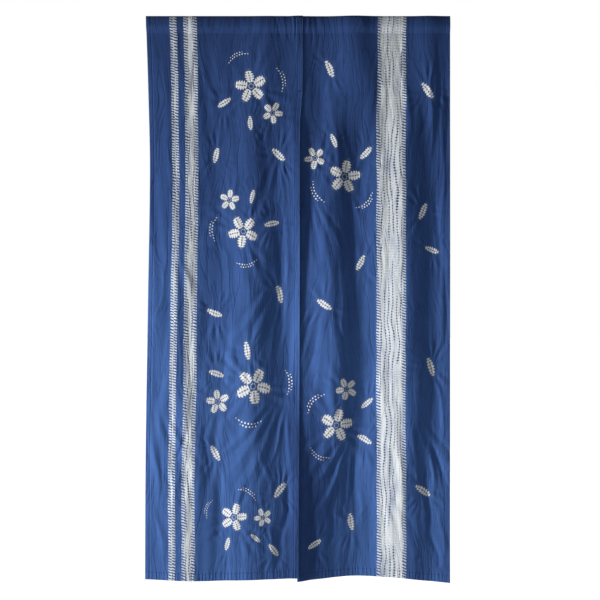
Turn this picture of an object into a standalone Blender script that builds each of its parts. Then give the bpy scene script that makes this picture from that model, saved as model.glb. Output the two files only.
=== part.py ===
"""A noren: an indigo cotton door curtain of two long panels under one rod pocket.

Metres, +Z up. The front faces -Y, the middle of the top edge is the origin, and the left
panel is the one at -X. The panels are sewn together below the pocket and hang free under
the seam, with the left panel's edge lapping in front of the right panel's.

"Depth" is the distance below the top edge, and "forward" the distance towards -Y.
"""

import math
from collections import namedtuple

import bmesh
import bpy

COLLECTION = "noren_curtain"

CLOTH = 0.0012
GAP = 0.0003
HALF_WIDTH = 0.403

POCKET_HEIGHT = 0.050
POCKET_DEPTH = 0.014
POCKET_RING_POINTS = 20
# Half the cloth's thickness, as it is mitred at the ring's top and bottom corners.
POCKET_CORNER = 0.0007

GATHERS_AT = 0.003
GATHERS_HALF_SPAN = 0.056
GATHERS_PITCH = 0.0187
GATHERS_RELIEF = 0.0016
GATHERS_STEPS = 12

SEAM_FOOT = 0.200
SLIT_FREE_BY = 0.330
SEAM_X = 0.013
SEAM_LAP = 0.012
SEAM_REACH = 0.090
LAP_STEP = 0.030

PANEL_COLUMNS = 22
PANEL_ROWS = 25

# The depths between which the folds grow out of the flat heading, hold, and turn into
# the shape they have at the foot.
FOLDS_START = 0.060
FOLDS_FULL = 0.400
FOLDS_HOLD = 0.850
FOLDS_FOOT = 1.380

# One row for each place where a fold's crest or valley runs down a panel: how far across
# and how far forward it is at mid height, and again at the foot.
FoldLine = namedtuple("FoldLine", "mid_x mid_forward foot_x foot_forward")

LEFT_FOLDS = (
    FoldLine(-0.403, 0.002, -0.404, 0.007),
    FoldLine(-0.310, 0.007, -0.290, 0.015),
    FoldLine(-0.205, 0.002, -0.210, 0.009),
    FoldLine(-0.118, 0.010, -0.125, 0.015),
    FoldLine(-0.046, -0.004, -0.030, 0.005),
    FoldLine(0.006, 0.006, 0.002, 0.009),
)
RIGHT_FOLDS = (
    FoldLine(-0.008, -0.001, -0.001, 0.003),
    FoldLine(0.036, 0.000, 0.050, -0.006),
    FoldLine(0.100, 0.012, 0.100, -0.016),
    FoldLine(0.168, -0.010, 0.150, -0.020),
    FoldLine(0.232, 0.001, 0.225, -0.011),
    FoldLine(0.296, 0.013, 0.290, -0.002),
    FoldLine(0.362, -0.007, 0.352, -0.009),
    FoldLine(0.403, 0.000, 0.404, -0.004),
)

# How far the outer edges, the slit's edge and the two hems stray from straight lines.
EdgePoint = namedtuple("EdgePoint", "depth across")
HemPoint = namedtuple("HemPoint", "across depth")

LEFT_EDGE = (
    EdgePoint(0.000, -HALF_WIDTH),
    EdgePoint(0.200, -HALF_WIDTH + 0.0065),
    EdgePoint(0.410, -HALF_WIDTH + 0.0112),
    EdgePoint(0.750, -HALF_WIDTH + 0.0060),
    EdgePoint(1.150, -HALF_WIDTH),
    EdgePoint(1.500, -HALF_WIDTH - 0.0013),
)
RIGHT_EDGE = (EdgePoint(0.000, HALF_WIDTH), EdgePoint(1.500, HALF_WIDTH + 0.0006))
SLIT_EDGE = (
    EdgePoint(0.000, SEAM_X),
    EdgePoint(SEAM_FOOT, SEAM_X - 0.001),
    EdgePoint(0.280, 0.0060),
    EdgePoint(0.800, 0.0045),
    EdgePoint(1.500, 0.0015),
)
HIDDEN_LAP = (
    EdgePoint(0.000, SEAM_LAP),
    EdgePoint(SEAM_FOOT, SEAM_LAP),
    EdgePoint(1.500, 0.0035),
)
LEFT_HEM = (
    HemPoint(-0.404, 1.4910),
    HemPoint(-0.265, 1.4952),
    HemPoint(-0.106, 1.4916),
    HemPoint(0.002, 1.4896),
)
RIGHT_HEM = (
    HemPoint(-0.002, 1.5000),
    HemPoint(0.055, 1.4945),
    HemPoint(0.135, 1.4888),
    HemPoint(0.265, 1.4900),
    HemPoint(0.340, 1.4985),
    HemPoint(0.404, 1.5040),
)


def smooth(low, high, value):
    """0 below low, 1 above high, and an even ease between them."""
    t = min(max((value - low) / (high - low), 0.0), 1.0)
    return t * t * (3.0 - 2.0 * t)


def curve_through(points, at):
    """The height at a place on a smooth curve through (place, height) points."""
    at = min(max(at, points[0][0]), points[-1][0])
    last = len(points) - 1
    i = next(k for k in range(last) if at <= points[k + 1][0] + 1e-9)

    def slope(k):
        a, b = points[max(k - 1, 0)], points[min(k + 1, last)]
        return (b[1] - a[1]) / (b[0] - a[0])

    (x0, y0), (x1, y1) = points[i][:2], points[i + 1][:2]
    span = x1 - x0
    t = (at - x0) / span
    return (
        (2 * t**3 - 3 * t**2 + 1) * y0
        + (t**3 - 2 * t**2 + t) * span * slope(i)
        + (3 * t**2 - 2 * t**3) * y1
        + (t**3 - t**2) * span * slope(i + 1)
    )


def fold_section(folds, depth):
    """The fold lines that a level cut at this depth meets, as (across, forward) points."""
    rise = smooth(FOLDS_START, FOLDS_FULL, depth)
    foot = smooth(FOLDS_HOLD, FOLDS_FOOT, depth)
    return [
        (
            line.mid_x + (line.foot_x - line.mid_x) * foot,
            (line.mid_forward + (line.foot_forward - line.mid_forward) * foot) * rise,
        )
        for line in folds
    ]


def free_of_seam(x, depth):
    """0 where the two panels are sewn together, and 1 away from the seam or below it."""
    sewn = 1.0 - smooth(SEAM_FOOT, SLIT_FREE_BY, depth)
    near = 1.0 - smooth(SEAM_LAP, SEAM_REACH, abs(x - SEAM_X))
    return 1.0 - sewn * near


def panel_forward(folds, x, depth):
    return curve_through(fold_section(folds, depth), x) * free_of_seam(x, depth)


def left_point(column, share_down):
    """A point of the left panel's middle layer. Its last column is the lapping edge."""
    depth = panel_top() + share_down * (LEFT_HEM[0].depth - panel_top())
    slit = curve_through(SLIT_EDGE, depth)
    lap_start = slit - curve_through(HIDDEN_LAP, depth)
    side = curve_through(LEFT_EDGE, depth)
    if column == PANEL_COLUMNS:
        x = slit
    else:
        x = side + (lap_start - side) * column / (PANEL_COLUMNS - 1)
    depth += share_down * (curve_through(LEFT_HEM, x) - LEFT_HEM[0].depth)
    lap = (CLOTH + GAP) * smooth(lap_start - LAP_STEP, lap_start, x)
    return x, -panel_forward(LEFT_FOLDS, x, depth) - lap, -depth


def right_point(column, share_down):
    """A point of the right panel's middle layer. Its first column is the hidden edge."""
    depth = panel_top() + share_down * (RIGHT_HEM[0].depth - panel_top())
    slit = curve_through(SLIT_EDGE, depth)
    side = curve_through(RIGHT_EDGE, depth)
    if column == 0:
        x = slit - curve_through(HIDDEN_LAP, depth)
    else:
        x = slit + (side - slit) * (column - 1) / (PANEL_COLUMNS - 1)
    depth += share_down * (curve_through(RIGHT_HEM, x) - RIGHT_HEM[0].depth)
    return x, -panel_forward(RIGHT_FOLDS, x, depth), -depth


def panel_top():
    return POCKET_HEIGHT + GAP


def cotton(name, color):
    """A matt cotton of one colour."""
    material = bpy.data.materials.new(name)
    material.use_nodes = True
    shader = material.node_tree.nodes["Principled BSDF"]
    shader.inputs["Base Color"].default_value = (*color, 1.0)
    shader.inputs["Roughness"].default_value = 0.9
    shader.inputs["Metallic"].default_value = 0.0
    return material


def cloth_object(name, surface, material, collection):
    """Gives an open surface the cloth's thickness and puts it in the collection."""
    bmesh.ops.recalc_face_normals(surface, faces=surface.faces)
    bmesh.ops.triangulate(surface, faces=surface.faces)
    mesh = bpy.data.meshes.new(name)
    surface.to_mesh(mesh)
    surface.free()
    mesh.shade_smooth()
    mesh.materials.append(material)
    cloth = bpy.data.objects.new(name, mesh)
    collection.objects.link(cloth)
    thickness = cloth.modifiers.new("thickness", "SOLIDIFY")
    thickness.thickness = CLOTH
    thickness.offset = 0.0
    thickness.use_even_offset = True
    return cloth


def panel(name, point_at, material, collection):
    """A grid of the panel's columns and rows, hung in its folds."""
    surface = bmesh.new()
    bmesh.ops.create_grid(
        surface, x_segments=PANEL_COLUMNS, y_segments=PANEL_ROWS, size=0.5
    )
    for vertex in surface.verts:
        column = round((vertex.co.x + 0.5) * PANEL_COLUMNS)
        share_down = 0.5 - vertex.co.y
        vertex.co = point_at(column, share_down)
    return cloth_object(name, surface, material, collection)


def gathers_forward(x):
    """Small ridges where the seam draws the heading together."""
    away = abs(x - GATHERS_AT) / GATHERS_HALF_SPAN
    ridge = 0.5 + 0.5 * math.cos(2.0 * math.pi * (x - GATHERS_AT) / GATHERS_PITCH)
    return GATHERS_RELIEF * ridge * (1.0 - smooth(0.6, 1.0, away))


def pocket_columns():
    """The places across where the pocket's ring is repeated: its ends and the gathers."""
    low, high = GATHERS_AT - GATHERS_HALF_SPAN, GATHERS_AT + GATHERS_HALF_SPAN
    gathers = [
        low + (high - low) * step / GATHERS_STEPS for step in range(GATHERS_STEPS + 1)
    ]
    return [-HALF_WIDTH, (low - HALF_WIDTH) / 2, *gathers, (high + HALF_WIDTH) / 2, HALF_WIDTH]


def rod_pocket(material, collection):
    """The heading, turned over and stitched down: a flat sleeve open at both ends."""
    half_height = POCKET_HEIGHT / 2 - POCKET_CORNER
    half_depth = (POCKET_DEPTH - CLOTH) / 2
    surface = bmesh.new()
    ring = bmesh.ops.create_circle(
        surface, cap_ends=False, segments=POCKET_RING_POINTS, radius=1.0
    )["verts"]
    for vertex in ring:
        across, up = vertex.co.x, vertex.co.y
        vertex.co = (0.0, -across * half_depth, -POCKET_HEIGHT / 2 + up * half_height)
    columns = pocket_columns()
    edges = list(surface.edges)
    place_ring(ring, columns[0], half_depth)
    for before, x in zip(columns, columns[1:]):
        grown = bmesh.ops.extrude_edge_only(surface, edges=edges)["geom"]
        ring = [part for part in grown if isinstance(part, bmesh.types.BMVert)]
        edges = [
            part
            for part in grown
            if isinstance(part, bmesh.types.BMEdge) and all(v in ring for v in part.verts)
        ]
        undo_gathers(ring, before, half_depth)
        place_ring(ring, x, half_depth)
    return cloth_object("rod_pocket", surface, material, collection)


def front_share(vertex, half_depth):
    """1 on the foremost line of the pocket's front wall, and 0 on its back wall."""
    return max(-vertex.co.y / half_depth, 0.0)


def place_ring(ring, x, half_depth):
    for vertex in ring:
        vertex.co.x = x
        vertex.co.y -= gathers_forward(x) * front_share(vertex, half_depth)


def undo_gathers(ring, x, half_depth):
    """Takes the last column's gathers out of a ring that was copied from it."""
    for vertex in ring:
        if vertex.co.y < 0.0:
            vertex.co.y /= 1.0 + gathers_forward(x) / half_depth


def main():
    for leftover in list(bpy.data.objects):
        bpy.data.objects.remove(leftover)
    collection = bpy.data.collections.new(COLLECTION)
    bpy.context.scene.collection.children.link(collection)
    rod_pocket(cotton("pocket_cotton", (0.018, 0.045, 0.150)), collection)
    panel("left_panel", left_point, cotton("left_cotton", (0.028, 0.072, 0.210)), collection)
    panel("right_panel", right_point, cotton("right_cotton", (0.022, 0.058, 0.180)), collection)


main()
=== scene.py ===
# %% [markdown]
# # A noren, dyed in indigo
# A noren is a door curtain of narrow cotton panels. Its head is turned over into a sleeve
# for a rod, its panels are sewn together for about a hand's length below that, and then
# they hang free, so that people can walk in between them. The solids of this curtain are
# already built and packed. This script dresses them with fine cloth, thread and dye.

import math
from collections import namedtuple

import bmesh
import bpy
import numpy as np
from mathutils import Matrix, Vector


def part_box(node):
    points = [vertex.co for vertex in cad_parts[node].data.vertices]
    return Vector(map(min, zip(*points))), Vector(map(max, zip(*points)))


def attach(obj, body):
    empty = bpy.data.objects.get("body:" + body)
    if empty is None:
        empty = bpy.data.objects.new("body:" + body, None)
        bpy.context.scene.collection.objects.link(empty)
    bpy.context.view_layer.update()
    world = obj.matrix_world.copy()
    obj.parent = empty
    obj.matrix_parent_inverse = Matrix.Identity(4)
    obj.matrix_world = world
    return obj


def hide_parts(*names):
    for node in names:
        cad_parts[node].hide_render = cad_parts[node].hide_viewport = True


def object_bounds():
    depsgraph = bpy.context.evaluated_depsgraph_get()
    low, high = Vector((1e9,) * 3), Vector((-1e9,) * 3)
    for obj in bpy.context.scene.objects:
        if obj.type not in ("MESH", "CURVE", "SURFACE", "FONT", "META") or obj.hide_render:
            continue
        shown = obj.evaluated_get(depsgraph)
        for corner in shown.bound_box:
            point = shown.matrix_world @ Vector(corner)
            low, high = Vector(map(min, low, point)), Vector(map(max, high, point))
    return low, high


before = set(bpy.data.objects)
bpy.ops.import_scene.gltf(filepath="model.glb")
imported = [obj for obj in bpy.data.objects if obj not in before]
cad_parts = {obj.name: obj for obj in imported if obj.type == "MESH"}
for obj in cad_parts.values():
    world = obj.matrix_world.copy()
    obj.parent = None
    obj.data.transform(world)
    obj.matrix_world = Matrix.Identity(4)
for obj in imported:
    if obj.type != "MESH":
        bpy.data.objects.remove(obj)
cad_low, cad_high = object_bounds()
print("solids:", ", ".join(sorted(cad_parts)))

# %% [markdown]
# ## The folds
# Cloth on a rod is drawn in by its folds: 85 cm of flat cotton hang 80.6 cm wide here. The
# folds grow out of the flat heading, and the right panel's are deeper and turn into one
# broad hollow at the foot. Each fold is named by its crest or valley line, and a smooth
# curve through those lines gives the cloth's place everywhere between them.

# %% The lines of the folds, as in the solids
pocket_low, pocket_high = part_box("rod_pocket")
HALF_WIDTH = pocket_high.x
POCKET_HEIGHT = pocket_high.z - pocket_low.z

# Depths are in metres below the top edge. The seam ends at its foot, and a little lower
# the folds are free of its pull. They grow from FOLDS_START to FOLDS_FULL, and between
# FOLDS_HOLD and FOLDS_FOOT they turn into the folds of the foot.
LAP_GAP = 0.0015
SEAM_FOOT = 0.200
SLIT_FREE_BY = 0.330
SEAM_X = 0.013
SEAM_LAP = 0.012
SEAM_REACH = 0.090
LAP_STEP = 0.030
FOLDS_START, FOLDS_FULL = 0.060, 0.400
FOLDS_HOLD, FOLDS_FOOT = 0.850, 1.380

FoldLine = namedtuple("FoldLine", "mid_x mid_forward foot_x foot_forward")


def rows_of(kind, *rows):
    """A table: each row gets the names of the kind's columns."""
    return tuple(kind(*row) for row in rows)


LEFT_FOLDS = rows_of(
    FoldLine,
    (-0.403, 0.002, -0.404, 0.007),
    (-0.310, 0.007, -0.290, 0.015),
    (-0.205, 0.002, -0.210, 0.009),
    (-0.118, 0.010, -0.125, 0.015),
    (-0.046, -0.004, -0.030, 0.005),
    (0.006, 0.006, 0.002, 0.009),
)
RIGHT_FOLDS = rows_of(
    FoldLine,
    (-0.008, -0.001, -0.001, 0.003),
    (0.036, 0.000, 0.050, -0.006),
    (0.100, 0.012, 0.100, -0.016),
    (0.168, -0.010, 0.150, -0.020),
    (0.232, 0.001, 0.225, -0.011),
    (0.296, 0.013, 0.290, -0.002),
    (0.362, -0.007, 0.352, -0.009),
    (0.403, 0.000, 0.404, -0.004),
)

# %% The edges and the hems, as in the solids
EdgePoint = namedtuple("EdgePoint", "depth across")
HemPoint = namedtuple("HemPoint", "across depth")
LEFT_EDGE = rows_of(
    EdgePoint,
    (0.000, -HALF_WIDTH),
    (0.200, -HALF_WIDTH + 0.0065),
    (0.410, -HALF_WIDTH + 0.0112),
    (0.750, -HALF_WIDTH + 0.0060),
    (1.150, -HALF_WIDTH),
    (1.500, -HALF_WIDTH - 0.0013),
)
RIGHT_EDGE = rows_of(EdgePoint, (0.000, HALF_WIDTH), (1.500, HALF_WIDTH + 0.0006))
SLIT_EDGE = rows_of(
    EdgePoint,
    (0.000, SEAM_X),
    (SEAM_FOOT, SEAM_X - 0.001),
    (0.280, 0.0060),
    (0.800, 0.0045),
    (1.500, 0.0015),
)
# How far the right panel reaches behind the left one's slit edge.
HIDDEN_LAP = rows_of(
    EdgePoint,
    (0.000, SEAM_LAP),
    (SEAM_FOOT, SEAM_LAP),
    (1.500, 0.0035),
)
LEFT_HEM = rows_of(
    HemPoint,
    (-0.404, 1.4910),
    (-0.265, 1.4952),
    (-0.106, 1.4916),
    (0.002, 1.4896),
)
RIGHT_HEM = rows_of(
    HemPoint,
    (-0.002, 1.5000),
    (0.055, 1.4945),
    (0.135, 1.4888),
    (0.265, 1.4900),
    (0.340, 1.4985),
    (0.404, 1.5040),
)


# %% Curves that work on whole arrays of points
def ease(low, high, value):
    """0 below low, 1 above high, and an even ease between them."""
    t = np.clip((value - low) / (high - low), 0.0, 1.0)
    return t * t * (3.0 - 2.0 * t)


def smooth_curve(places, heights, at):
    """A smooth curve through heights at places. Both may be arrays, one for each point."""
    at = np.asarray(at, float)
    places = [np.broadcast_to(place, at.shape) for place in places]
    heights = [np.broadcast_to(height, at.shape) for height in heights]
    last = len(places) - 1

    def slope(k):
        a, b = max(k - 1, 0), min(k + 1, last)
        return (heights[b] - heights[a]) / (places[b] - places[a])

    result = np.where(at < places[0], heights[0], heights[last]).astype(float)
    for k in range(last):
        span = places[k + 1] - places[k]
        t = np.clip((at - places[k]) / span, 0.0, 1.0)
        value = (
            (2 * t**3 - 3 * t**2 + 1) * heights[k]
            + (t**3 - 2 * t**2 + t) * span * slope(k)
            + (3 * t**2 - 2 * t**3) * heights[k + 1]
            + (t**3 - t**2) * span * slope(k + 1)
        )
        result = np.where((at >= places[k]) & (at <= places[k + 1]), value, result)
    return result


def along(table, at):
    """The value that a two-column table gives at these places."""
    return smooth_curve([row[0] for row in table], [row[1] for row in table], at)


def fold_forward(folds, x, depth):
    """How far the folds bring the cloth forward."""
    rise = ease(FOLDS_START, FOLDS_FULL, depth)
    foot = ease(FOLDS_HOLD, FOLDS_FOOT, depth)
    places = [f.mid_x + (f.foot_x - f.mid_x) * foot for f in folds]
    heights = [f.mid_forward + (f.foot_forward - f.mid_forward) * foot for f in folds]
    sewn = 1.0 - ease(SEAM_FOOT, SLIT_FREE_BY, depth)
    near = 1.0 - ease(SEAM_LAP, SEAM_REACH, np.abs(x - SEAM_X))
    return smooth_curve(places, heights, x) * rise * (1.0 - sewn * near)


# %% [markdown]
# ## Creases
# Hand-dyed cotton keeps the marks of the stitching and wringing that it went through. Each
# long crease is one row here: a soft ridge, or a trough where its relief is negative, from
# one point to another. Its middle wanders a little, as no crease in cloth is straight, and
# it fades out at both ends. Creases that start above the top or end below the foot are
# only cut off there.

# %% The left panel's long creases
Crease = namedtuple("Crease", "x depth to_x to_depth width relief")
LEFT_CREASES = rows_of(
    Crease,
    # The gathers beside the seam, in the heading.
    (-0.064, -0.018, -0.044, 0.080, 0.0028, -0.0012),
    (-0.037, -0.018, -0.034, 0.090, 0.0036, 0.0008),
    (-0.0180, -0.018, -0.0140, 0.068, 0.0019, -0.0010),
    (-0.0112, -0.018, -0.0110, 0.085, 0.0021, 0.0010),
    (-0.0050, -0.018, -0.0082, 0.072, 0.0019, -0.0010),
    (0.0012, -0.010, -0.0025, 0.120, 0.0025, 0.0009),
    # The soft ridge beside the side hem, and the long folds beside it.
    (-0.392, 0.250, -0.380, 1.060, 0.0120, 0.0016),
    (-0.386, 1.080, -0.362, 1.330, 0.0080, 0.0018),
    (-0.378, 1.280, -0.345, 1.480, 0.0090, 0.0016),
    (-0.345, 0.060, -0.350, 0.420, 0.0160, 0.0012),
    (-0.300, 0.120, -0.305, 0.330, 0.0050, 0.0010),
    (-0.256, 0.140, -0.262, 0.560, 0.0140, 0.0014),
    (-0.228, 0.070, -0.206, 0.300, 0.0080, -0.0012),
    (-0.330, 0.620, -0.318, 1.050, 0.0110, 0.0014),
    (-0.282, 0.700, -0.290, 1.180, 0.0090, -0.0012),
    (-0.344, 1.200, -0.336, 1.290, 0.0060, -0.0016),
    (-0.300, 1.090, -0.275, 1.420, 0.0100, -0.0013),
    (-0.214, 1.060, -0.210, 1.480, 0.0110, -0.0022),
    (-0.172, 0.560, -0.180, 1.020, 0.0090, 0.0013),
    # The hollow between the middle of the panel and its slit edge.
    (-0.064, -0.100, -0.060, 0.780, 0.0340, 0.0062),
    (0.006, 0.520, 0.004, 1.900, 0.0300, -0.0070),
    (-0.060, 0.420, -0.050, 0.860, 0.0110, -0.0016),
    (-0.088, 0.300, -0.080, 0.470, 0.0060, -0.0008),
    (-0.036, 0.300, -0.030, 0.900, 0.0070, 0.0018),
    (-0.008, 1.200, -0.056, 1.420, 0.0090, -0.0036),
    (-0.044, 1.330, -0.062, 1.490, 0.0120, -0.0030),
    (-0.026, 1.000, -0.020, 1.380, 0.0060, 0.0014),
    (-0.100, 1.140, -0.060, 1.300, 0.0070, 0.0012),
)

# %% [markdown]
# The right panel has more of them, as its folds are deeper. Its broad ones shape the long
# lights and shades beside the slit and the hollow near its right side.

# %% The right panel's long creases
RIGHT_CREASES = rows_of(
    Crease,
    # The gathers beside the seam, and the short tucks along the heading.
    (0.0285, -0.018, 0.0250, 0.065, 0.0023, 0.0010),
    (0.0350, -0.014, 0.0380, 0.100, 0.0025, -0.0012),
    (0.0480, -0.018, 0.0500, 0.062, 0.0023, -0.0010),
    (0.060, -0.010, 0.072, 0.085, 0.0040, 0.0008),
    (0.190, -0.004, 0.190, 0.050, 0.0030, -0.0009),
    (0.170, -0.006, 0.171, 0.052, 0.0030, 0.0008),
    (0.151, -0.002, 0.154, 0.048, 0.0026, -0.0007),
    (0.268, 0.010, 0.272, 0.220, 0.0050, -0.0012),
    # The dark fold towards the right side, and the ripples beyond it.
    (0.276, 0.060, 0.298, 0.420, 0.0100, 0.0030),
    (0.330, 0.100, 0.330, 0.520, 0.0130, -0.0010),
    (0.352, 0.120, 0.354, 0.420, 0.0060, 0.0022),
    (0.374, 0.040, 0.370, 0.300, 0.0050, -0.0014),
    (0.386, 0.180, 0.382, 0.620, 0.0055, 0.0016),
    (0.366, 0.420, 0.378, 0.800, 0.0060, -0.0018),
    (0.392, 0.560, 0.388, 0.980, 0.0060, -0.0016),
    (0.348, 0.780, 0.352, 1.140, 0.0070, -0.0022),
    (0.376, 0.900, 0.384, 1.200, 0.0060, 0.0018),
    (0.319, 1.110, 0.352, 1.330, 0.0060, -0.0026),
    (0.332, 1.180, 0.354, 1.420, 0.0075, -0.0030),
    (0.346, 1.080, 0.366, 1.320, 0.0055, 0.0020),
    (0.355, 1.110, 0.396, 1.280, 0.0050, -0.0018),
    (0.352, 1.360, 0.381, 1.480, 0.0060, -0.0020),
    (0.376, 1.300, 0.394, 1.460, 0.0060, 0.0014),
    # Small slanting tucks above the foot hem.
    (0.232, 1.452, 0.286, 1.418, 0.0045, -0.0014),
    (0.306, 1.446, 0.342, 1.424, 0.0045, -0.0013),
    (0.360, 1.464, 0.398, 1.440, 0.0045, -0.0012),
    (0.250, 1.476, 0.262, 1.440, 0.0040, 0.0009),
    # The slope beside the slit, with its long wrinkles.
    (0.054, 0.240, 0.066, 0.860, 0.0180, 0.0014),
    (0.138, 0.300, 0.146, 1.000, 0.0110, -0.0030),
    (0.112, 0.520, 0.118, 0.900, 0.0060, 0.0014),
    (0.088, 0.180, 0.096, 0.420, 0.0080, 0.0012),
    (0.018, 1.110, 0.022, 1.330, 0.0045, 0.0012),
    (0.136, 1.130, 0.048, 1.262, 0.0060, -0.0018),
    (0.132, 1.150, 0.064, 1.310, 0.0060, 0.0016),
    (0.130, 1.160, 0.020, 1.340, 0.0070, -0.0020),
    (0.140, 1.170, 0.104, 1.370, 0.0065, -0.0022),
    (0.142, 1.180, 0.122, 1.330, 0.0055, 0.0016),
    (0.150, 1.180, 0.150, 1.400, 0.0060, -0.0014),
    (0.162, 1.170, 0.170, 1.400, 0.0070, 0.0015),
    (0.100, 1.280, 0.078, 1.440, 0.0065, -0.0020),
    (0.036, 1.300, 0.032, 1.490, 0.0140, -0.0040),
    (0.156, 1.060, 0.160, 1.620, 0.0500, -0.0060),
    (0.012, 1.180, 0.012, 1.700, 0.0120, 0.0022),
    # Broad, shallow waves under the smaller creases.
    (0.176, -0.250, 0.174, 1.000, 0.0420, 0.0086),
    (0.092, -0.150, 0.096, 1.250, 0.0400, -0.0062),
    (0.366, -0.250, 0.364, 1.250, 0.0300, 0.0062),
    (0.022, 1.050, 0.014, 1.900, 0.0300, -0.0060),
    (0.296, -0.100, 0.294, 1.100, 0.0300, -0.0030),
    (0.406, 0.200, 0.406, 1.750, 0.0200, -0.0036),
    (0.226, 0.860, 0.238, 1.300, 0.0140, 0.0020),
    (0.262, 1.020, 0.276, 1.400, 0.0100, 0.0018),
)


# %% [markdown]
# Where a lapped edge or a stitched place pulls on the cloth, small creases spread from it
# like the ribs of a fan, ridges and troughs in turn. One row here makes a whole fan. Its
# angles are from straight down, towards the left.

# %% Fans of small creases
CREASE_WANDER = 0.6
CREASE_BENDS = 1.3
FADES_IN_BY, FADES_OUT_FROM = 0.3, 0.6
Fan = namedtuple("Fan", "x depth first last count length width relief")
LEFT_FANS = rows_of(
    Fan,
    (-0.022, 0.300, 4, 30, 6, 0.36, 0.0050, 0.0007),
    (-0.018, 0.640, 8, 40, 7, 0.40, 0.0060, 0.0010),
    (-0.010, 0.960, 10, 44, 8, 0.42, 0.0060, 0.0012),
    (-0.260, 0.060, -16, 14, 6, 0.30, 0.0060, 0.0007),
    (-0.330, 0.560, -22, 10, 6, 0.36, 0.0070, 0.0008),
    (-0.250, 1.020, -18, 26, 7, 0.34, 0.0060, 0.0009),
    (-0.380, 0.980, -30, -4, 5, 0.38, 0.0060, 0.0009),
)
RIGHT_FANS = rows_of(
    Fan,
    (0.104, 0.200, -14, 16, 8, 0.42, 0.0050, 0.0008),
    (0.020, 0.420, -30, -4, 6, 0.36, 0.0050, 0.0008),
    (0.090, 0.700, -10, 40, 9, 0.40, 0.0060, 0.0010),
    (0.168, 1.070, 8, 52, 9, 0.36, 0.0060, 0.0011),
    (0.300, 1.010, -34, -4, 6, 0.36, 0.0060, 0.0012),
    (0.386, 0.100, -6, 16, 5, 0.34, 0.0050, 0.0008),
    (0.220, 0.060, -8, 14, 5, 0.26, 0.0060, 0.0006),
    (0.230, 1.230, -30, 10, 6, 0.24, 0.0060, 0.0008),
)


def fan_creases(fan):
    """All creases of a fan, uneven in length and relief."""
    creases = []
    for rib in range(fan.count):
        angle = math.radians(fan.first + (fan.last - fan.first) * rib / (fan.count - 1))
        uneven = math.sin(2.3 * rib + 50 * fan.x) * math.cos(1.1 * rib + 9 * fan.depth)
        near, far = fan.length * (0.12 - 0.10 * uneven), fan.length * (0.85 + 0.25 * uneven)
        sign = 1 if rib % 2 else -1
        creases.append(
            Crease(
                fan.x - math.sin(angle) * near,
                fan.depth + math.cos(angle) * near,
                fan.x - math.sin(angle) * far,
                fan.depth + math.cos(angle) * far,
                fan.width * (1.0 + 0.3 * uneven),
                fan.relief * sign * (1.0 - 0.4 * uneven),
            )
        )
    return creases


def with_fans(creases, fans):
    """A panel's long creases, and then all creases of its fans."""
    return [*creases, *(crease for fan in fans for crease in fan_creases(fan))]


def crease_forward(creases, x, depth):
    """The relief of these creases: each is a soft ridge that fades at its two ends."""
    total = np.zeros_like(x)
    for c in creases:
        dx, dd = c.to_x - c.x, c.to_depth - c.depth
        length = math.hypot(dx, dd)
        share = ((x - c.x) * dx + (depth - c.depth) * dd) / length**2
        aside = ((x - c.x) * dd - (depth - c.depth) * dx) / length
        aside = aside + CREASE_WANDER * c.width * np.sin(CREASE_BENDS * math.tau * share)
        fade = ease(0.0, FADES_IN_BY, share) * (1.0 - ease(FADES_OUT_FROM, 1.0, share))
        total += c.relief * fade * np.exp(-((aside / c.width) ** 2))
    return total


# %% [markdown]
# ## The dyer's plan
# The cloth is dyed by stitched resist: rows of running stitch are drawn tight before the
# dyeing, and what lies inside the stitches stays white. This curtain gets a plain
# traditional plan: one broad stripe of "wood grain" and two slim ones, with plum blossom
# and loose petals drifting between them. Its places are in metres on the flat cloth,
# from the slit and from the top, and one small spray is used over and over, turned.

# %% Stripes, sprays and loose petals
Stripe = namedtuple("Stripe", "across half_width")
STRIPES = rows_of(
    Stripe,
    (-0.352, 0.0065),
    (-0.306, 0.0150),
    (0.262, 0.0370),
)
BLOSSOM, PETAL, DOTS = range(3)
REACH = {BLOSSOM: 0.050, PETAL: 0.024, DOTS: 0.035}
Item = namedtuple("Item", "kind across depth turn size")
SPRAY = rows_of(
    Item,
    (BLOSSOM, 0.000, 0.000, 0, 1.00),
    (BLOSSOM, 0.074, 0.062, 36, 0.66),
    (PETAL, -0.068, 0.054, 142, 0.95),
    (PETAL, 0.016, 0.098, 78, 0.85),
    (DOTS, 0.085, -0.031, -110, 1.00),
    (DOTS, -0.050, -0.077, 147, 0.90),
)
Place = namedtuple("Place", "across depth turn size")
SPRAYS = rows_of(
    Place,
    (-0.142, 0.190, 8, 0.98),
    (-0.160, 0.575, 205, 0.96),
    (-0.128, 0.985, 118, 1.10),
    (-0.180, 1.330, 322, 0.84),
    (0.134, 0.430, 172, 1.00),
    (0.110, 1.090, 246, 1.02),
)
LOOSE_PETALS = rows_of(
    Place,
    (-0.060, 0.372, 40, 1.05),
    (-0.238, 0.372, 105, 0.95),
    (-0.056, 0.742, 75, 1.05),
    (-0.238, 0.790, 20, 1.00),
    (-0.052, 1.262, 130, 1.05),
    (-0.070, 1.420, 50, 0.90),
    (-0.232, 1.160, 60, 1.00),
    (0.088, 0.142, 65, 1.05),
    (0.178, 0.660, 120, 1.00),
    (0.076, 0.768, 35, 1.05),
    (0.150, 1.352, 80, 1.00),
    (0.048, 1.405, 150, 0.90),
    (0.362, 0.200, 50, 1.10),
    (0.350, 0.520, 115, 1.00),
    (0.376, 0.620, 20, 0.90),
    (0.372, 0.930, 70, 1.10),
    (0.350, 1.260, 30, 1.05),
)


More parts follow.
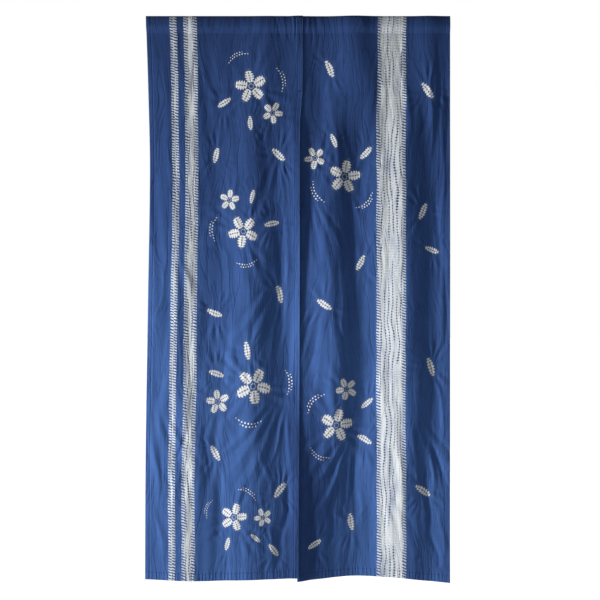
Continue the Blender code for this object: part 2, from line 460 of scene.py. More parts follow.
def every_item():
    """All blossoms, petals and rows of dots, at their places on the flat cloth."""
    items = []
    for spray in SPRAYS:
        turn = math.radians(spray.turn)
        for item in SPRAY:
            across = item.across * math.cos(turn) - item.depth * math.sin(turn)
            depth = item.across * math.sin(turn) + item.depth * math.cos(turn)
            items.append(
                Item(
                    item.kind,
                    spray.across + across * spray.size,
                    spray.depth + depth * spray.size,
                    item.turn + spray.turn,
                    item.size * spray.size,
                )
            )
    items += [Item(PETAL, p.across, p.depth, p.turn, p.size) for p in LOOSE_PETALS]
    return items


ITEMS = every_item()
print(len(ITEMS), "stitched items")

# %% [markdown]
# The tightly drawn stitches also leave their mark in the cloth: around each blossom short
# creases stand out like rays, uneven in length and height.


# %% Rays around the blossoms
RAYS_AROUND = 15
RAY_RELIEF = 0.0012
RAY_REACH = 2.8
RAY_START = 0.010
RAY_NARROWING = 0.75


def ray_forward(across, depth):
    """How far the rays around all blossoms and petals lift the cloth."""
    total = np.zeros_like(across)
    for number, item in enumerate(ITEMS):
        if item.kind == DOTS:
            continue
        reach = REACH[item.kind] * item.size * RAY_REACH
        aside, down = across - item.across, depth - item.depth
        r = np.hypot(aside, down * RAY_NARROWING)
        angle = np.arctan2(down, aside)
        wander = 1.6 * np.sin(2 * angle + number) + 1.1 * np.sin(5 * angle + 2.1 * number)
        height = 0.5 + 0.5 * np.sin(3 * angle + 1.7 * number)
        fade = ease(RAY_START, 0.5 * reach, r) * (1.0 - ease(0.5 * reach, reach, r))
        wave = np.cos(RAYS_AROUND * angle + wander)
        total += RAY_RELIEF * item.size * height * fade * wave
    return total


# %% [markdown]
# ## The cloth of a panel
# One sheet makes a whole panel, as it does in real life. Its rows run from the turned-up
# foot hem, up the front, over the top of the rod pocket and down its back to the line of
# stitches. Its columns run from one turned side hem to the other. A flat grid is moved
# point by point onto that path, and Solidify gives it the thickness of the cotton.

# %% Sizes of the hems and the sheet
CLOTH = 0.0005
SIDE_HEM = 0.012
FOOT_HEM = 0.022
SIDE_TURN = 0.0005
FOOT_TURN = 0.0013
TURN_STEPS = 6
POCKET_TAIL = 0.004
POCKET_SEAM = 0.0012
POCKET_TOP = 0.0004
POCKET_CLEAR = 0.0016
FLAT_PANEL = 0.425
FLAT_DROP = 1.500
HEM_NOMINAL = 1.495
FRONT_COLUMNS = 150
CLOSER_AT_SIDES = 0.35
FRONT_ROWS = 236
ABOVE_HEM = FOOT_HEM * 1.5
HEM_ROWS = 11
POCKET_ROWS = 14
SIDE_HEM_STEPS = 3
FOOT_HEM_STEPS = 4
JUST_INSIDE = 1e-6

# A column is a stop on the way across and a row a stop on the way up. Each says how far
# the cloth lies behind or before the hanging surface there, and its place on the flat.
# An inset of nothing means a stop on the front, so the hems' insets are never quite that.
Column = namedtuple("Column", "share inset behind turned")
Row = namedtuple("Row", "depth forward normal_down normal_forward flat")


# %% The way across, with a turned hem at each side
def side_columns(count):
    """The stops across a panel. Those of the turned hems are at an inset from its edge."""
    turned = []
    for step in range(SIDE_HEM_STEPS, 0, -1):
        width = SIDE_HEM * step / SIDE_HEM_STEPS
        turned.append(Column(0.0, SIDE_TURN + width, -2 * SIDE_TURN, -width))
    arc = []
    for step in range(TURN_STEPS, 0, -1):
        angle = math.pi * step / TURN_STEPS
        inset = SIDE_TURN * (1 - math.sin(angle)) + JUST_INSIDE
        behind = -SIDE_TURN * (1 - math.cos(angle))
        arc.append(Column(0.0, inset, behind, -SIDE_TURN * angle))
    left = turned + arc
    steps = np.linspace(0.0, 1.0, count + 1)
    shares = steps - CLOSER_AT_SIDES * np.sin(math.tau * steps) / math.tau
    front = [Column(float(share), 0.0, 0.0, 0.0) for share in shares]
    right = [Column(1.0, -c.inset, c.behind, -c.turned) for c in reversed(left)]
    return left + front + right


COLUMNS = side_columns(FRONT_COLUMNS)


# %% The way up, with the foot hem and the rod pocket
def pocket_bulge(depth):
    """How far the pocket's front wall stands out, with a round top and a gentle foot."""
    middle = POCKET_HEIGHT / 2
    half_depth = (pocket_high.y - pocket_low.y) / 2 - POCKET_CLEAR
    upper = np.sqrt(np.clip(1.0 - ((depth - middle) / middle) ** 2, 0.0, 1.0))
    lower = 0.5 + 0.5 * np.cos(math.pi * np.clip((depth - middle) / middle, 0.0, 1.0))
    return half_depth * np.where(depth < middle, upper, lower)


def cloth_rows(count):
    """The stops along a panel, from the turned foot hem to the pocket's inner edge."""
    foot = HEM_NOMINAL - FOOT_TURN
    rows = []
    for step in range(FOOT_HEM_STEPS, 0, -1):
        rows.append((foot - FOOT_HEM * step / FOOT_HEM_STEPS, -2 * FOOT_TURN))
    for step in range(TURN_STEPS, 0, -1):
        angle = math.pi * step / TURN_STEPS
        down, behind = math.sin(angle), 1 - math.cos(angle)
        rows.append((foot + FOOT_TURN * down, -FOOT_TURN * behind))
    hem_top = foot - ABOVE_HEM
    rows += [(foot - ABOVE_HEM * step / HEM_ROWS, 0.0) for step in range(HEM_ROWS)]
    for step in range(count + 1):
        rows.append((hem_top + (POCKET_HEIGHT - hem_top) * step / count, 0.0))
    angles = [math.pi * step / POCKET_ROWS for step in range(1, POCKET_ROWS)]
    wall = [POCKET_HEIGHT * (0.5 + 0.5 * math.cos(angle)) for angle in angles]
    for depth in wall:
        rows.append((depth, float(pocket_bulge(depth))))
    rows.append((POCKET_TOP, 0.0))
    # The back wall leans back towards its foot, where it's sewn down behind the front.
    for depth in reversed(wall):
        meet = POCKET_SEAM * depth / POCKET_HEIGHT
        rows.append((depth, -float(pocket_bulge(depth)) - meet))
    rows.append((POCKET_HEIGHT, -POCKET_SEAM))
    rows.append((POCKET_HEIGHT + POCKET_TAIL, -POCKET_SEAM))
    return rows


def with_normals(points):
    """Adds to each stop its outward normal and its place along the flat cloth."""
    points = np.array(points)
    steps = np.diff(points, axis=0)
    walked = np.concatenate([[0.0], np.cumsum(np.hypot(steps[:, 0], steps[:, 1]))])
    tangent = np.gradient(points, axis=0)
    tangent /= np.hypot(tangent[:, 0], tangent[:, 1])[:, None]
    top = int(np.argmin(points[:, 0]))
    return [
        Row(depth, forward, t[1], -t[0], walked[top] - at)
        for (depth, forward), t, at in zip(points, tangent, walked)
    ]


ROWS = with_normals(cloth_rows(FRONT_ROWS))
print(f"{len(COLUMNS)} columns and {len(ROWS)} rows in a panel")

# %% [markdown]
# Each panel has its own edges, folds and creases, and a faint unevenness lies over
# everything, because cloth is never quite smooth. Where the two are sewn together, the
# left one goes around the outside: in front, over the top of the pocket and down its back.

# %% The surface that a panel hangs on
Panel = namedtuple("Panel", "name side seed folds creases hem")
left_creases = with_fans(LEFT_CREASES, LEFT_FANS)
right_creases = with_fans(RIGHT_CREASES, RIGHT_FANS)
PANELS = (
    Panel("left_cloth", -1, 1.3, LEFT_FOLDS, left_creases, LEFT_HEM),
    Panel("right_cloth", 1, 4.1, RIGHT_FOLDS, right_creases, RIGHT_HEM),
)
UNEVEN_RELIEF = 0.0004

# Around the lap the left panel stands outside by the gap and the turned hem, and by a
# smaller share of both over the pocket's top, where the cloth is pulled down on the rod.
HEM_CLEAR = 0.0006
TOP_SHARE = 0.6


def panel_edges(side, depth):
    """The two upright edges of a panel at this depth, the left one first."""
    slit = along(SLIT_EDGE, depth)
    if side < 0:
        return along(LEFT_EDGE, depth), slit
    return slit - along(HIDDEN_LAP, depth), along(RIGHT_EDGE, depth)


def small_relief(x, depth, seed):
    """A faint unevenness: three slow waves across, each swaying with the depth."""
    uneven = (
        np.sin(71 * x + 9 * np.sin(2.1 * depth + seed) + seed)
        + 0.8 * np.sin(113 * x - 6 * np.sin(3.3 * depth) + 2.0 * seed)
        + 0.6 * np.sin(190 * x + 7 * depth + 5 * np.sin(4.7 * depth + seed))
    )
    return UNEVEN_RELIEF * uneven * ease(0.03, 0.20, depth)


def hanging(panel, x, depth):
    """How far forward a panel hangs. The right one keeps behind the left one's edge."""
    left, right = panel_edges(panel.side, depth)
    across = ((x - left) / (right - left) - (panel.side < 0)) * FLAT_PANEL
    forward = (
        fold_forward(panel.folds, x, depth)
        + crease_forward(panel.creases, x, depth)
        + ray_forward(across, depth)
        + small_relief(x, depth, panel.seed)
    )
    if panel.side < 0:
        return forward
    slit = along(SLIT_EDGE, depth)
    apart = forward - hanging(PANELS[0], np.minimum(x, slit), depth)
    too_far = np.maximum(apart, apart * (1.0 - ease(POCKET_HEIGHT, SEAM_FOOT, depth)))
    return forward - too_far * (1.0 - ease(slit, slit + LAP_STEP / 2, x))


def hung_points(panel, columns, rows):
    """Where points of a panel hang. Columns and rows hold one array for each field."""
    left, right = panel_edges(panel.side, rows.depth)
    x = left + SIDE_TURN + (right - left - 2 * SIDE_TURN) * columns.share
    x = np.where(columns.inset > 0, left + columns.inset, x)
    x = np.where(columns.inset < 0, right + columns.inset, x)
    hem_depth = along(panel.hem, x)
    depth = rows.depth + (hem_depth - HEM_NOMINAL) * rows.depth / HEM_NOMINAL
    forward = hanging(panel, x, depth) + rows.forward
    forward += columns.behind * rows.normal_forward
    down = depth + columns.behind * rows.normal_down
    if panel.side < 0:
        lap_start = right - along(HIDDEN_LAP, depth)
        outside = (LAP_GAP + HEM_CLEAR) * ease(lap_start - LAP_STEP, lap_start, x)
        pocket = (rows.depth < POCKET_HEIGHT) | (rows.flat < 0)
        forward += outside * np.where(pocket, rows.normal_forward, 1.0)
        down += outside * np.where(pocket, rows.normal_down, 0.0) * TOP_SHARE
    return np.stack([x, -forward, -down], axis=1)


# %% A panel as one sheet
# Faces farther from every item than this times its reach get a place far from them all.
ITEM_MARGIN = 1.35
NO_ITEM = 9.0


def take(kind, stops, number):
    """One array for each field of these stops, taken at these numbers."""
    return kind(*np.array(stops)[number].T)


def panel_cloth(panel):
    """The panel's cloth: a grid that is moved onto its path."""
    last_column, last_row = len(COLUMNS) - 1, len(ROWS) - 1
    sheet = bmesh.new()
    bmesh.ops.create_grid(sheet, x_segments=last_column, y_segments=last_row, size=0.5)
    mesh = bpy.data.meshes.new(panel.name)
    sheet.to_mesh(mesh)
    sheet.free()
    places = np.empty(len(mesh.vertices) * 3, np.float32)
    mesh.vertices.foreach_get("co", places)
    # The grid runs from -0.5 to 0.5 both ways, and the stops are counted from its corner.
    places = places.reshape(-1, 3) + 0.5
    columns = take(Column, COLUMNS, np.rint(places[:, 0] * last_column).astype(int))
    rows = take(Row, ROWS, np.rint(places[:, 1] * last_row).astype(int))
    points = hung_points(panel, columns, rows)
    mesh.vertices.foreach_set("co", points.astype(np.float32).ravel())
    across = (columns.share - (panel.side < 0)) * FLAT_PANEL + columns.turned
    add_flat_maps(mesh, np.stack([across, rows.flat], axis=1))
    near_side = np.minimum(columns.share, 1 - columns.share) * FLAT_PANEL
    add_measure(mesh, "from_side", near_side - np.abs(columns.turned))
    add_measure(mesh, "from_foot", FLAT_DROP - rows.flat)
    mesh.shade_smooth()
    cloth = bpy.data.objects.new(panel.name, mesh)
    bpy.context.collection.objects.link(cloth)
    thickness = cloth.modifiers.new("thickness", "SOLIDIFY")
    thickness.thickness = CLOTH
    thickness.offset = 0.0
    return cloth


def add_measure(mesh, name, values):
    """Keeps one number for each point, for the cloth's finish to read."""
    attribute = mesh.attributes.new(name, "FLOAT", "POINT")
    attribute.data.foreach_set("value", values.astype(np.float32))


def add_flat_maps(mesh, flat):
    """One map of places on the flat cloth, and one of places in the nearest item."""
    corner_vertex = np.empty(len(mesh.loops), np.int32)
    mesh.loops.foreach_get("vertex_index", corner_vertex)
    corners = flat[corner_vertex]
    cloth_map = mesh.uv_layers.new(name="flat_cloth")
    cloth_map.uv.foreach_set("vector", corners.astype(np.float32).ravel())
    quads = corners.reshape(-1, 4, 2)
    middles = quads.mean(axis=1)
    local = np.full_like(quads, NO_ITEM)
    nearest = np.full(len(quads), ITEM_MARGIN)
    for item in ITEMS:
        centre = np.array([item.across, item.depth])
        distance = np.hypot(*(middles - centre).T) / (REACH[item.kind] * item.size)
        chosen = distance < nearest
        nearest = np.where(chosen, distance, nearest)
        turn = math.radians(item.turn)
        cos, sin = math.cos(turn), math.sin(turn)
        inside = (quads - centre) @ np.array([[cos, -sin], [sin, cos]]) / item.size
        inside[..., 0] += item.kind
        local[chosen] = inside[chosen]
    item_map = mesh.uv_layers.new(name="item")
    item_map.uv.foreach_set("vector", local.astype(np.float32).ravel())


cloths = {panel.side: panel_cloth(panel) for panel in PANELS}
for cloth in cloths.values():
    print(cloth.name, len(cloth.data.polygons), "quads")

# %% [markdown]
# ## Finishes
# Dyed cotton is worked out in numbers: where it is stitched, how deep the blue is, how the
# threads lie. Written as nodes that would be hard to read, so a small class lets Python's
# own signs add the Math nodes, and one method adds every other node.


# %% A value that adds its own nodes
class Tone:
    """One output of a node, on which + - * / and a few functions add more nodes."""

    def __init__(self, finish, socket):
        self.finish, self.socket = finish, socket

    def maths(self, operation, *others):
        """A Math node that takes this value first, and then the others."""
        values = {0: self, **{k + 1: other for k, other in enumerate(others)}}
        return self.finish.node("Math", values, operation=operation)

    def __add__(self, other):
        return self.maths("ADD", other)

    def __sub__(self, other):
        return self.maths("SUBTRACT", other)

    def __mul__(self, other):
        return self.maths("MULTIPLY", other)

    def __truediv__(self, other):
        return self.maths("DIVIDE", other)

    def __rsub__(self, other):
        return self.finish.node("Math", {0: other, 1: self}, operation="SUBTRACT")

    def __abs__(self):
        return self.maths("ABSOLUTE")

    __radd__, __rmul__ = __add__, __mul__

    def sine(self):
        return self.maths("SINE")

    def cosine(self):
        return self.maths("COSINE")

    def floor(self):
        return self.maths("FLOOR")

    def beat(self):
        """From -0.5 to 0.5 and back to -0.5 again, once for each whole number."""
        return self.maths("FRACT") - 0.5

    def most(self, other):
        return self.maths("MAXIMUM", other)

    def above(self, other):
        return self.maths("GREATER_THAN", other)

    def beside(self, other):
        """How far away a place is, from its two distances at right angles."""
        return (self * self + other * other).maths("SQRT")

    def rise(self, low, high, start=0.0, end=1.0):
        """An even ease from start to end, as this value goes from low to high."""
        values = {0: self, 1: low, 2: high, 3: start, 4: end}
        return self.finish.node("MapRange", values, interpolation_type="SMOOTHSTEP")


# %% A finish: one material and its nodes
# Blender's noise keeps near the middle of 0 to 1. This spreads it to about -1 to 1.
NOISE_GAIN = 2.4

# Some sockets are given by their number: those of a Mix node between colours, the plain
# number among Attribute's outputs, and the object's place among Texture Coordinate's.
COLOUR_SHARE, FIRST_COLOUR, SECOND_COLOUR, MIXED_COLOUR = 0, 6, 7, 2
PLAIN_NUMBER = 2
OBJECT_PLACE = 3


class Finish:
    """A material, or the world, whose nodes are all added by one method."""

    def __init__(self, block, shader="Principled BSDF", **constants):
        block.use_nodes = True
        self.block = block
        self.tree = block.node_tree
        self.shader = self.tree.nodes[shader]
        for socket, value in constants.items():
            self.shader.inputs[socket.replace("_", " ")].default_value = value

    def node(self, kind, values=(), output=0, stops=(), **settings):
        """Adds a node: its settings first, then a value or a link for each socket."""
        node = self.tree.nodes.new("ShaderNode" + kind)
        for name, setting in settings.items():
            setattr(node, name, setting)
        for number, (place, colour) in enumerate(stops):
            ramp = node.color_ramp.elements
            stop = ramp[number] if number < 2 else ramp.new(place)
            stop.position, stop.color = place, colour
        for key, value in dict(values).items():
            if isinstance(value, Tone):
                self.tree.links.new(value.socket, node.inputs[key])
            else:
                node.inputs[key].default_value = value
        return Tone(self, node.outputs[output])

    def noise(self, across, down, seed, detail=2.0):
        """Smooth noise around zero. The larger across and down, the finer its grain."""
        place = self.node("CombineXYZ", {0: across, 1: down, 2: seed})
        values = {"Vector": place, "Scale": 1.0, "Detail": detail}
        return (self.node("TexNoise", values) - 0.5) * NOISE_GAIN

    def mix(self, share, first, second):
        """A colour between two colours."""
        values = {COLOUR_SHARE: share, FIRST_COLOUR: first, SECOND_COLOUR: second}
        return self.node("Mix", values, output=MIXED_COLOUR, data_type="RGBA")

    def measure(self, name):
        """A number kept for each point of the mesh."""
        return self.node("Attribute", output=PLAIN_NUMBER, attribute_name=name)

    def split(self, vector):
        """The three parts of a vector."""
        return tuple(self.node("SeparateXYZ", {0: vector}, output=k) for k in range(3))

    def places(self, uv_map):
        """The two parts of a map."""
        return self.split(self.node("UVMap", uv_map=uv_map))[:2]

    def give(self, **links):
        """Links values to the shader's own sockets."""
        for name, value in links.items():
            self.tree.links.new(value.socket, self.shader.inputs[name.replace("_", " ")])


# %% [markdown]
# The broad stripe is the dyer's "wood grain": rows of running stitch side by side, each
# wandering a little. Where a drawn-up row lets the dye in, it leaves a line of short dark
# dashes, and at the stripe's edge a fringe of white and blue ticks. Fine grey arcs lie
# across the white, from the tucks between the rows.

# %% Wood grain
ROW_PITCH = 0.0118
TICK = 0.0074
ARC_PITCH = 0.0047
DASH_HALF_WIDTH = 0.0027
STRIPE_WANDER = 0.0035
FRINGE_REACH = 0.0016
COMB_SLANT = 70.0


def by_stripe(past_1, past_2, first, second, third):
    """The number for the nearest stripe."""
    return first + past_1 * (second - first) + past_2 * (third - second)


def stripe_white(finish, u, v):
    """How white the cloth is, how far inside a stripe it lies, and where dye pools."""
    past_1 = u.above((STRIPES[0].across + STRIPES[1].across) / 2)
    past_2 = u.above((STRIPES[1].across + STRIPES[2].across) / 2)
    centre = by_stripe(past_1, past_2, *(s.across for s in STRIPES))
    half = by_stripe(past_1, past_2, *(s.half_width for s in STRIPES))
    number = past_1 + past_2 * 3.0
    aside = u - centre - finish.noise(number * 7.0, v * 2.6, 1.0) * STRIPE_WANDER
    side = aside.above(0.0)
    swell = finish.noise(number * 5.0 + side * 9.0, v * 6.0, 2.0)
    inside = half * (1.0 + swell * 0.10) - abs(aside)

    # The comb: slanting ticks of blue between white teeth, along both of a stripe's edges.
    slant = inside * (side - 0.5) * COMB_SLANT
    tick = v / TICK + slant + finish.noise(side, v * 11.0, 3.0)
    comb = abs(tick.beat()).rise(0.13, 0.30)
    reach = finish.noise(number + side * 3.0, v * 60.0, 4.0) * FRINGE_REACH
    body = inside.rise(0.0032, 0.0048)
    fringe = (inside + reach).rise(-0.0040, -0.0022)
    white = body.most(fringe * comb)
    edge_fades = finish.noise(number + side * 5.0, v * 8.0, 7.0).rise(-0.25, 0.15)
    notches = (inside + reach).rise(0.0095, 0.0070) * (1.0 - comb) * edge_fades
    white = (white - notches).most(0.0)

    # The rows of stitches: dark dashes, a grey strand along each, and arcs between them.
    rows = aside / ROW_PITCH + finish.noise(u * 16.0, v * 6.0, 5.0) * 1.5
    row = rows.floor()
    along_row = v / TICK + row * 0.41 + finish.noise(row * 2.3, v * 16.0, 8.0) * 0.5
    diamond = abs(rows.beat()) * (ROW_PITCH / DASH_HALF_WIDTH)
    diamond = diamond + abs(along_row.beat()) * 2.9
    strength = finish.noise(row * 3.7 + 11.0, v * 7.0, 6.0, 1.0).rise(-0.22, 0.0)
    dots = diamond.rise(1.2, 0.7) * strength * inside.rise(0.006, 0.009)
    bow = rows.beat() * rows.beat() * 1.6
    arcs = (v / ARC_PITCH + bow).beat()
    arc_strength = finish.noise(u * 60.0, v * 14.0, 9.0).rise(-0.3, 0.6)
    strand = abs(rows.beat()).rise(0.16, 0.03) * strength
    pale = (abs(arcs).rise(0.36, 0.12) * arc_strength).most(strand) * 0.42
    seep = finish.noise(u * 40.0, v * 9.0, 10.0, 3.0).rise(-0.1, 0.9) * 0.45
    white = white * (1.0 - dots) * (1.0 - pale) * (1.0 - seep)
    pooled = dots.most(notches * body)
    return white, inside, pooled


# %% [markdown]
# A plum blossom has five round petals. Each petal here is a stitched oval with a broken
# dark line down its middle, where its thread ran. On both sides of that line the cloth is
# white in small beads, one for each stitch that held it. Folding the angle around the
# centre five times over draws all the petals at once. The whole-number part of the map
# says which kind of item a place belongs to.

# %% Blossoms, petals and dots
BEAD = 0.0068
DOT_PITCH = 0.0082
DOT_ROW_GAP = 0.0074
DOT_RADIUS = 0.0024
Oval = namedtuple("Oval", "length width")
BLOSSOM_PETAL = Oval(0.0178, 0.0118)
LOOSE_PETAL = Oval(0.0215, 0.0078)
PETAL_FROM_CENTRE = 0.0270
PETALS, HEART_STITCHES = 5, 9
HEART_RADIUS = 0.0062
DOT_ROW_BEND = 0.12


def fold_angle(angle, times):
    """The angle from the middle of the nearest of so many equal sectors."""
    return (angle * (times / math.tau)).beat() * (math.tau / times)


def oval_white(finish, p, q, oval):
    """A stitched oval along p: beads of white on both sides of a dark middle line."""
    length, width = oval
    rough = finish.noise(p * 420.0, q * 420.0, length * 900.0)
    bead = ((p / BEAD + rough * 0.13) * math.tau).cosine()
    far = (p / length).beside(q / width) + rough * 0.09 - bead * 0.13
    body = far.rise(1.06, 0.90).most(far.rise(1.50, 1.0) * 0.045)
    line = (abs(q) + rough * 0.0005).rise(0.0024, 0.0011)
    line = line * bead.rise(0.3, -0.5, 0.25, 1.0)
    ends = abs(p).rise(length * 0.90, length * 0.66)
    notch = bead.rise(-0.4, -1.0) * (abs(q) / width).rise(0.30, 0.80)
    return body * (1.0 - line * ends) * (1.0 - notch * 0.80)


def dotted(p, off, stagger, half_length):
    """A row of small white knots along p."""
    away = ((p / DOT_PITCH + stagger).beat() * DOT_PITCH).beside(off)
    row_ends = abs(p).rise(half_length + 0.0004, half_length)
    return away.rise(DOT_RADIUS, DOT_RADIUS * 0.6) * row_ends


def item_white(finish, u, v):
    """How white the cloth is inside the stitched items, none quite like another."""
    p_all, q = finish.places("item")
    kind = (p_all + 0.5).floor()
    p = p_all - kind + finish.noise(u * 30.0, v * 30.0, 31.0) * 0.0030
    q = q + finish.noise(u * 30.0, v * 30.0, 32.0) * 0.0030
    r, angle = p.beside(q), q.maths("ARCTAN2", p)
    folded = fold_angle(angle, PETALS)
    petal_p, petal_q = r * folded.cosine() - PETAL_FROM_CENTRE, r * folded.sine()
    blossom = oval_white(finish, petal_p, petal_q, BLOSSOM_PETAL)
    around = fold_angle(angle, HEART_STITCHES) * HEART_RADIUS
    heart = around.beside(r - HEART_RADIUS).rise(0.0013, 0.0008)
    loose = oval_white(finish, p, q, LOOSE_PETAL)
    off = q + p * p / DOT_ROW_BEND
    second = dotted(p, off - DOT_ROW_GAP, 0.0, DOT_PITCH * 2.5)
    dots = dotted(p, off, 0.5, DOT_PITCH * 4.0).most(second)
    whites = {BLOSSOM: blossom.most(heart), PETAL: loose, DOTS: dots}
    return sum((1.0 - abs(kind - k).above(0.5)) * white for k, white in whites.items())


# %% [markdown]
# Indigo is never even. It pools in the tucks and streaks along the threads, and the blue is
# darker at the top and paler down the cloth. Low down, on both sides of the slit, the blue
# is darkened as painted shade, and the hair-fine creases are darkened as painted shade too.
# Its streaks, its threads and its hair-fine creases follow each other, so one function
# works them out for the colour and the bump.

# %% Yarn, dye and painted shade
DEEP_INDIGO = (0.018, 0.043, 0.140, 1.0)
MIDDLE_INDIGO = (0.035, 0.086, 0.265, 1.0)
PALE_INDIGO = (0.068, 0.162, 0.445, 1.0)
MIDDLE_PALENESS = 0.45
Yarn = namedtuple("Yarn", "sway down across hairs")


def cotton_yarn(finish, u, v):
    """How the cloth's lines sway, its fine threads both ways, and its hair-fine creases."""
    sway = u + finish.noise(u * 5.0, v * 2.6, 30.0) * 0.055
    down = finish.noise(sway * 420.0, v * 12.0, 13.0)
    across = finish.noise(u * 9.0, v * 380.0, 14.0)
    worked = finish.noise(u * 7.0, v * 3.0, 25.0)
    hair_1 = abs(finish.noise(sway * 30.0, v * 3.2, 22.0, 3.0)).rise(0.09, 0.0)
    hair_2 = abs(finish.noise(sway * 60.0, v * 9.0, 23.0)).rise(0.12, 0.0)
    hairs = hair_1 * worked.rise(-0.35, 0.25) + hair_2 * worked.rise(0.35, -0.25) * 0.7
    return Yarn(sway, down, across, hairs)


def blue_dye_and_painted_shade(finish, u, v, yarn):
    """The indigo from deep to pale, with painted shade beside the slit and in the fine
    creases.
    """
    mottle = finish.noise(u * 6.0, v * 4.0, 11.0, 4.0)
    streak = finish.noise(yarn.sway * 60.0, v * 4.0, 12.0, 3.0)
    # Painted shade: low down, on both sides of the slit, the blue is darkened where the
    # slit's hollow lies in shade.
    painted_slit_shade = u.rise(-0.055, -0.010) * u.rise(0.140, 0.030) * v.rise(0.70, 1.20)
    paleness = (
        v.rise(0.0, 0.20, 0.17, 0.38)
        + v.rise(0.25, 1.05, 0.0, 0.42)
        + mottle * 0.17
        + streak * 0.14
        + yarn.down * 0.045
        + yarn.across * 0.06
        # Painted shade: the hair-fine creases darken the blue here, on top of their bump in
        # cloth_height.
        - yarn.hairs * 0.16
        - painted_slit_shade * 0.37
    )
    stops = ((0.0, DEEP_INDIGO), (1.0, PALE_INDIGO), (MIDDLE_PALENESS, MIDDLE_INDIGO))
    return finish.node("ValToRGB", {0: paleness}, stops=stops)


# %% [markdown]
# The weave is a fine bump, and so are the creases that are too small for the mesh, the
# puckers above the foot hem, and the dips that the hems' stitches pull.

# %% Weave, puckers and dips
THREAD_PITCH = 0.0010
PUCKER_PITCH = 0.0105
PUCKERED_PART = (0.036, 0.016)
STITCH_DIP = (0.0022, 0.0005)

# How far each of these raises or lowers the cloth, in metres.
WEAVE_HEIGHT = 0.000012
SLUB_HEIGHT = 0.00002
CROSS_SLUB_HEIGHT = 0.00003
PUCKER_HEIGHT = 0.00030
CRINKLE_HEIGHT = 0.00044
FINE_CRINKLE_HEIGHT = 0.00016
GRAIN_HEIGHT = 0.00016
STITCH_DIP_DEPTH = 0.0005
HAIR_DEPTH = 0.00042


def cloth_height(finish, u, v, yarn, inside, from_side, from_foot):
    """How high the cloth stands, from its weave to its small creases."""
    turns = math.tau / THREAD_PITCH
    weave = ((u * turns).sine() + (v * turns).sine()) * WEAVE_HEIGHT
    slub = yarn.down * SLUB_HEIGHT + yarn.across * CROSS_SLUB_HEIGHT
    pucker_sway = finish.noise(u * 50.0, 0.0, 26.0) * 6.0
    pucker = (u * (math.tau / PUCKER_PITCH) + pucker_sway).sine()
    pucker = pucker * from_foot.rise(*PUCKERED_PART) * PUCKER_HEIGHT
    crinkle = finish.noise(yarn.sway * 55.0, v * 7.0, 16.0, 3.0) * CRINKLE_HEIGHT
    fine = finish.noise(yarn.sway * 130.0, v * 20.0, 17.0) * FINE_CRINKLE_HEIGHT
    grain = (v * (math.tau / TICK)).sine() * inside.rise(-0.012, -0.001) * GRAIN_HEIGHT
    dip = abs(from_side - SIDE_HEM).rise(*STITCH_DIP)
    dip = dip.most(abs(from_foot - FOOT_HEM).rise(*STITCH_DIP))
    raised = weave + slub + crinkle + fine + grain + pucker
    return raised - dip * STITCH_DIP_DEPTH - yarn.hairs * HAIR_DEPTH


# %% [markdown]
# The whole finish: blue cloth with a pale halo around the stripes and along worn edges,
# and on it the parts that the stitches kept from the dye.

# %% Indigo cotton
HALO_BLUE = (0.150, 0.290, 0.520, 1.0)
UNDYED = (0.820, 0.850, 0.860, 1.0)
BOUND_WHITE = (0.930, 0.930, 0.890, 1.0)


def indigo_cotton():
    """The cloth's finish: dye and bare cotton as its colour, yarn and tucks as its bump."""
    finish = Finish(
        bpy.data.materials.new("indigo_cotton"),
        Roughness=0.9,
        Sheen_Weight=0.08,
        Sheen_Roughness=0.5,
        Specular_IOR_Level=0.15,
    )
    u, v = finish.places("flat_cloth")
    from_side, from_foot = finish.measure("from_side"), finish.measure("from_foot")
    stripe, inside, pooled = stripe_white(finish, u, v)
    bound = item_white(finish, u, v)
    yarn = cotton_yarn(finish, u, v)

    blue = finish.mix(pooled * 0.8, blue_dye_and_painted_shade(finish, u, v, yarn), DEEP_INDIGO)
    # The turned edges are worn paler, and the dye creeps in a haze around the stripes.
    worn = abs(from_side).rise(0.0030, 0.0004).most(abs(from_foot).rise(0.004, 0.0006))
    halo = finish.noise(u * 90.0, v * 60.0, 20.0).rise(-0.6, 0.8)
    halo = inside.rise(-0.0100, 0.0010) * halo
    blue = finish.mix(halo * 0.22 + worn * 0.20, blue, HALO_BLUE)
    streaky = finish.noise(u * 330.0, v * 14.0, 21.0)
    undyed = finish.mix(streaky.rise(-0.1, 1.0) * 0.30, UNDYED, HALO_BLUE)
    undyed = finish.mix(bound, undyed, BOUND_WHITE)
    finish.give(Base_Color=finish.mix(stripe.most(bound), blue, undyed))

    height = cloth_height(finish, u, v, yarn, inside, from_side, from_foot)
    finish.give(Normal=finish.node("Bump", {"Distance": 1.0, "Height": height}))
    return finish.block


cotton = indigo_cotton()
for cloth in cloths.values():
    cloth.data.materials.append(cotton)

# %% [markdown]
# ## Thread
# The hems, the seam and the pocket are closed with short dark stitches. A curve could
# carry them, but a stitch is so small that a drawn-out ball looks the same. It is laid
# again and again along lines on the cloth, on the front and on the turned side behind,
# nearly half sunk in, and a tight bar of stitches locks the top of the slit.

# %% Lines of stitches
STITCH_LENGTH = 0.0031
STITCH_GAP = 0.0007
THREAD = 0.0005
THREAD_FLATNESS = 0.7
THREAD_RISE = 0.2
CLEAR_OF_ENDS = 0.004
FROM_HEM_EDGE = 0.002
FROM_POCKET_SEAM = 0.001
TACK_FROM_EDGE, TACK_TO = 0.002, 0.013
TACK_STITCHES = 14
TACK_HALF_HEIGHT = 0.0016


def stitch_ball():
    """The points and faces of one stitch, a unit long and a unit thick."""
    ball = bmesh.new()
    bmesh.ops.create_icosphere(ball, subdivisions=1, radius=0.5)
    points = np.array([vert.co for vert in ball.verts])
    faces = np.array([[vert.index for vert in face.verts] for face in ball.faces])
    ball.free()
    return points, faces


